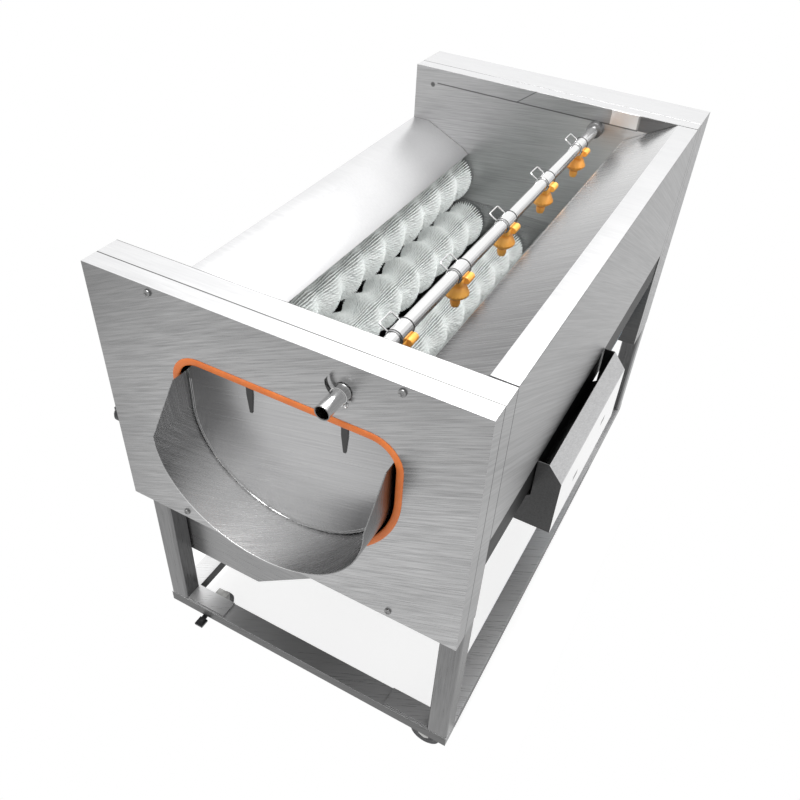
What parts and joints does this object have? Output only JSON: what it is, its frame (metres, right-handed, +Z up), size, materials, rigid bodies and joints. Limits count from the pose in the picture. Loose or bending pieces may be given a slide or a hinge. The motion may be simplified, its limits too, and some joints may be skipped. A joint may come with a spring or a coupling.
{
  "type": "roller vegetable washer",
  "caption": "Wheeled stainless trough that scrubs vegetables on driven spiral brush rollers under a spray pipe, with a hinged gate and chute at one end.",
  "frame": {"origin": "centre of the bounding box, on the floor under the casters", "axes": "+Z up, -Y towards the discharge chute, +X towards the side with the trough"},
  "size_m": [0.839, 1.444, 1.084],
  "materials": {
    "brushed_steel": "brushed stainless sheet and tube",
    "bright_steel": "polished stainless tube and wire",
    "dark_steel": "plain machined steel",
    "white_nylon": "white nylon bristle",
    "orange_plastic": "moulded orange plastic",
    "orange_rubber": "orange rubber edge trim",
    "black_plastic": "black moulded plastic",
    "grey_tyre": "grey rubber tyre",
    "motor_enamel": "blue-grey motor enamel"
  },
  "bodies": {
    "frame": {"base_ring": "brushed_steel", "leg_front_left": "brushed_steel", "leg_front_right": "brushed_steel", "leg_rear_left": "brushed_steel", "leg_rear_right": "brushed_steel", "upper_rail_left": "brushed_steel", "upper_rail_right": "brushed_steel", "front_cover": "brushed_steel", "front_box": "brushed_steel", "rear_box": "brushed_steel", "rear_cover": "brushed_steel", "side_panel_left": "brushed_steel", "side_panel_right": "brushed_steel", "feed_plate": "brushed_steel", "hopper_wall": "brushed_steel", "drain_hopper": "brushed_steel", "discharge_chute": "brushed_steel", "side_trough": "brushed_steel", "spray_pipe": "bright_steel", "hose_clamp": "bright_steel", "nozzle_clip_1": "bright_steel", "nozzle_clip_2": "bright_steel", "nozzle_clip_3": "bright_steel", "nozzle_clip_4": "bright_steel", "nozzle_clip_5": "bright_steel", "front_bearing_plate": "dark_steel", "rear_bearing_plate": "dark_steel", "drive_chain": "dark_steel", "nozzle_body_1": "orange_plastic", "nozzle_body_2": "orange_plastic", "nozzle_body_3": "orange_plastic", "nozzle_body_4": "orange_plastic", "nozzle_body_5": "orange_plastic", "opening_trim": "orange_rubber", "switch_base": "black_plastic", "gear_motor": "motor_enamel"},
    "gate": {"discharge_gate": "brushed_steel"},
    "roller_1": {"brush_1": "white_nylon", "roller_shaft_1": "dark_steel"},
    "roller_2": {"brush_2": "white_nylon", "roller_shaft_2": "dark_steel"},
    "roller_3": {"brush_3": "white_nylon", "roller_shaft_3": "dark_steel"},
    "drive": {"drive_shaft": "dark_steel"},
    "switch": {"switch_knob": "black_plastic"},
    "nozzle_aim_1": {"nozzle_tip_1": "orange_plastic"},
    "nozzle_aim_2": {"nozzle_tip_2": "orange_plastic"},
    "nozzle_aim_3": {"nozzle_tip_3": "orange_plastic"},
    "nozzle_aim_4": {"nozzle_tip_4": "orange_plastic"},
    "nozzle_aim_5": {"nozzle_tip_5": "orange_plastic"},
    "swivel_front_left": {"caster_fork_front_left": "bright_steel"},
    "wheel_front_left": {"caster_wheel_front_left": "grey_tyre"},
    "swivel_front_right": {"caster_fork_front_right": "bright_steel"},
    "wheel_front_right": {"caster_wheel_front_right": "grey_tyre"},
    "swivel_rear_left": {"caster_fork_rear_left": "bright_steel"},
    "wheel_rear_left": {"caster_wheel_rear_left": "grey_tyre"},
    "swivel_rear_right": {"caster_fork_rear_right": "bright_steel"},
    "wheel_rear_right": {"caster_wheel_rear_right": "grey_tyre"},
    "pedal_front_left": {"caster_pedal_front_left": "black_plastic"},
    "pedal_front_right": {"caster_pedal_front_right": "black_plastic"}
  },
  "joints": [
    {"name": "gate_swing", "type": "hinge", "parent": "frame", "child": "gate", "pos_m": [0.0035, -0.6222, 0.96], "axis": [-1, 0, 0], "range_deg": [0, 45]},
    {"name": "roller_1_spin", "type": "hinge", "parent": "frame", "child": "roller_1", "pos_m": [-0.25554, 0.017, 0.80406], "axis": [0, 1, 0], "continuous": true},
    {"name": "roller_2_spin", "type": "hinge", "parent": "frame", "child": "roller_2", "pos_m": [-0.20403, 0.017, 0.67367], "axis": [0, 1, 0], "continuous": true},
    {"name": "roller_3_spin", "type": "hinge", "parent": "frame", "child": "roller_3", "pos_m": [-0.07147, 0.017, 0.62804], "axis": [0, 1, 0], "continuous": true},
    {"name": "drive_spin", "type": "hinge", "parent": "frame", "child": "drive", "pos_m": [0.2845, 0.625, 0.53004], "axis": [0, 1, 0], "continuous": true},
    {"name": "switch_turn", "type": "hinge", "parent": "frame", "child": "switch", "pos_m": [-0.3998, -0.6145, 0.722], "axis": [-1, 0, 0], "range_deg": [0, 90]},
    {"name": "nozzle_1_aim", "type": "hinge", "parent": "frame", "child": "nozzle_aim_1", "pos_m": [0.1215, -0.453, 0.98013], "axis": [0, 1, 0], "range_deg": [-18, 18]},
    {"name": "nozzle_2_aim", "type": "hinge", "parent": "frame", "child": "nozzle_aim_2", "pos_m": [0.1215, -0.2275, 0.98013], "axis": [0, 1, 0], "range_deg": [-18, 18]},
    {"name": "nozzle_3_aim", "type": "hinge", "parent": "frame", "child": "nozzle_aim_3", "pos_m": [0.1215, -0.002, 0.98013], "axis": [0, 1, 0], "range_deg": [-18, 18]},
    {"name": "nozzle_4_aim", "type": "hinge", "parent": "frame", "child": "nozzle_aim_4", "pos_m": [0.1215, 0.2235, 0.98013], "axis": [0, 1, 0], "range_deg": [-18, 18]},
    {"name": "nozzle_5_aim", "type": "hinge", "parent": "frame", "child": "nozzle_aim_5", "pos_m": [0.1215, 0.449, 0.98013], "axis": [0, 1, 0], "range_deg": [-18, 18]},
    {"name": "swivel_front_left_turn", "type": "hinge", "parent": "frame", "child": "swivel_front_left", "pos_m": [-0.3055, -0.556, 0.0847], "axis": [0, 0, 1], "continuous": true},
    {"name": "wheel_front_left_roll", "type": "hinge", "parent": "swivel_front_left", "child": "wheel_front_left", "pos_m": [-0.3055, -0.526, 0.0375], "axis": [-1, 0, 0], "continuous": true},
    {"name": "pedal_front_left_press", "type": "hinge", "parent": "swivel_front_left", "child": "pedal_front_left", "pos_m": [-0.3055, -0.556, 0.0777], "axis": [1, 0, 0], "range_deg": [0, 18]},
    {"name": "swivel_front_right_turn", "type": "hinge", "parent": "frame", "child": "swivel_front_right", "pos_m": [0.2745, -0.556, 0.0847], "axis": [0, 0, 1], "continuous": true},
    {"name": "wheel_front_right_roll", "type": "hinge", "parent": "swivel_front_right", "child": "wheel_front_right", "pos_m": [0.3045, -0.556, 0.0375], "axis": [0, 1, 0], "continuous": true},
    {"name": "pedal_front_right_press", "type": "hinge", "parent": "swivel_front_right", "child": "pedal_front_right", "pos_m": [0.2745, -0.556, 0.0777], "axis": [0, -1, 0], "range_deg": [0, 18]},
    {"name": "swivel_rear_left_turn", "type": "hinge", "parent": "frame", "child": "swivel_rear_left", "pos_m": [-0.3055, 0.68, 0.0847], "axis": [0, 0, 1], "continuous": true},
    {"name": "wheel_rear_left_roll", "type": "hinge", "parent": "swivel_rear_left", "child": "wheel_rear_left", "pos_m": [-0.3055, 0.65, 0.0375], "axis": [1, 0, 0], "continuous": true},
    {"name": "swivel_rear_right_turn", "type": "hinge", "parent": "frame", "child": "swivel_rear_right", "pos_m": [0.2745, 0.68, 0.0847], "axis": [0, 0, 1], "continuous": true},
    {"name": "wheel_rear_right_roll", "type": "hinge", "parent": "swivel_rear_right", "child": "wheel_rear_right", "pos_m": [0.2745, 0.65, 0.0375], "axis": [1, 0, 0], "continuous": true}
  ],
  "couplings": [
    {"joint": "roller_2_spin", "follows": "roller_1_spin", "ratio": 1},
    {"joint": "roller_3_spin", "follows": "roller_1_spin", "ratio": 1},
    {"joint": "drive_spin", "follows": "roller_1_spin", "ratio": 1.2727}
  ]
}
